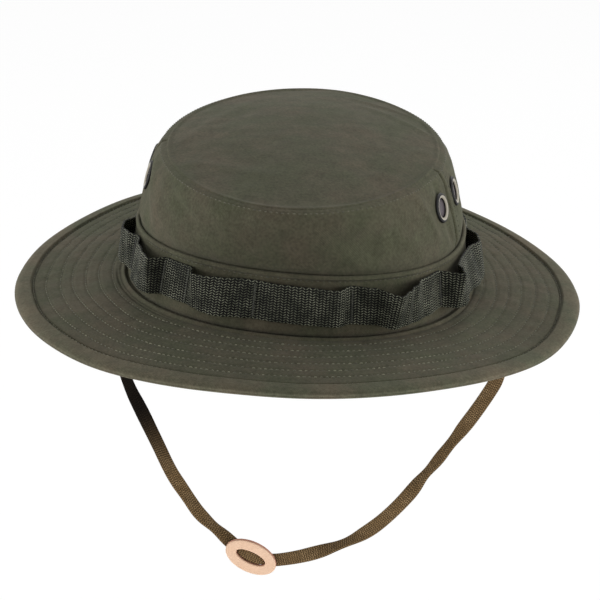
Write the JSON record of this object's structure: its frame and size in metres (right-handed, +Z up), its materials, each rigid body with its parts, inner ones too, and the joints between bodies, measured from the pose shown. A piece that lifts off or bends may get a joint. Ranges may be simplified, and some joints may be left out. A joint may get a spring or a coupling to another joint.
{
  "type": "boonie hat",
  "caption": "Soft brimmed bush hat with a stitched brim, a band of webbing loops, screened eyelets and a chin strap with a leather keeper.",
  "frame": {"origin": "centre of the head opening, in the mean plane of the crown-to-brim seam", "axes": "+Z up through the crown, -Y towards the front of the hat, +X towards the wearer's left"},
  "size_m": [0.289, 0.3178, 0.2542],
  "materials": {
    "olive_twill": "olive drab cotton twill, matte",
    "interlining": "stiff plain-woven interlining",
    "sweatband_cloth": "olive cotton twill tape",
    "nylon_webbing": "dark olive nylon webbing, slight sheen",
    "bartack_thread": "dense zigzag polyester thread",
    "strap_braid": "flat brown braid",
    "keeper_leather": "natural vegetable-tanned leather, cut edge",
    "eyelet_paint": "black painted brass",
    "eyelet_screen": "fine dark wire mesh"
  },
  "bodies": {
    "hat": {"crown_top": "olive_twill", "crown_side_front": "olive_twill", "crown_side_back": "olive_twill", "crown_band": "olive_twill", "brim_upper": "olive_twill", "brim_interlining": "interlining", "brim_lower": "olive_twill", "sweatband": "sweatband_cloth", "branch_loop_webbing": "nylon_webbing", "webbing_bartacks": "bartack_thread", "strap_end_left": "strap_braid", "strap_end_right": "strap_braid", "eyelet_front_left": "eyelet_paint", "eyelet_washer_front_left": "eyelet_paint", "eyelet_screen_front_left": "eyelet_screen", "eyelet_back_left": "eyelet_paint", "eyelet_washer_back_left": "eyelet_paint", "eyelet_screen_back_left": "eyelet_screen", "eyelet_front_right": "eyelet_paint", "eyelet_washer_front_right": "eyelet_paint", "eyelet_screen_front_right": "eyelet_screen", "eyelet_back_right": "eyelet_paint", "eyelet_washer_back_right": "eyelet_paint", "eyelet_screen_back_right": "eyelet_screen"},
    "chin_strap": {"chin_strap": "strap_braid"},
    "keeper": {"strap_keeper": "keeper_leather", "strap_bight": "strap_braid"}
  },
  "joints": [
    {"name": "strap_swing", "type": "hinge", "parent": "hat", "child": "chin_strap", "pos_m": [0, 0, -0.0086], "axis": [1, 0, 0], "range_deg": [-75, 75]},
    {"name": "keeper_slide", "type": "slide", "parent": "chin_strap", "child": "keeper", "axis": [0.9397, 0, -0.342], "range_m": [-0.012, 0.012]}
  ]
}
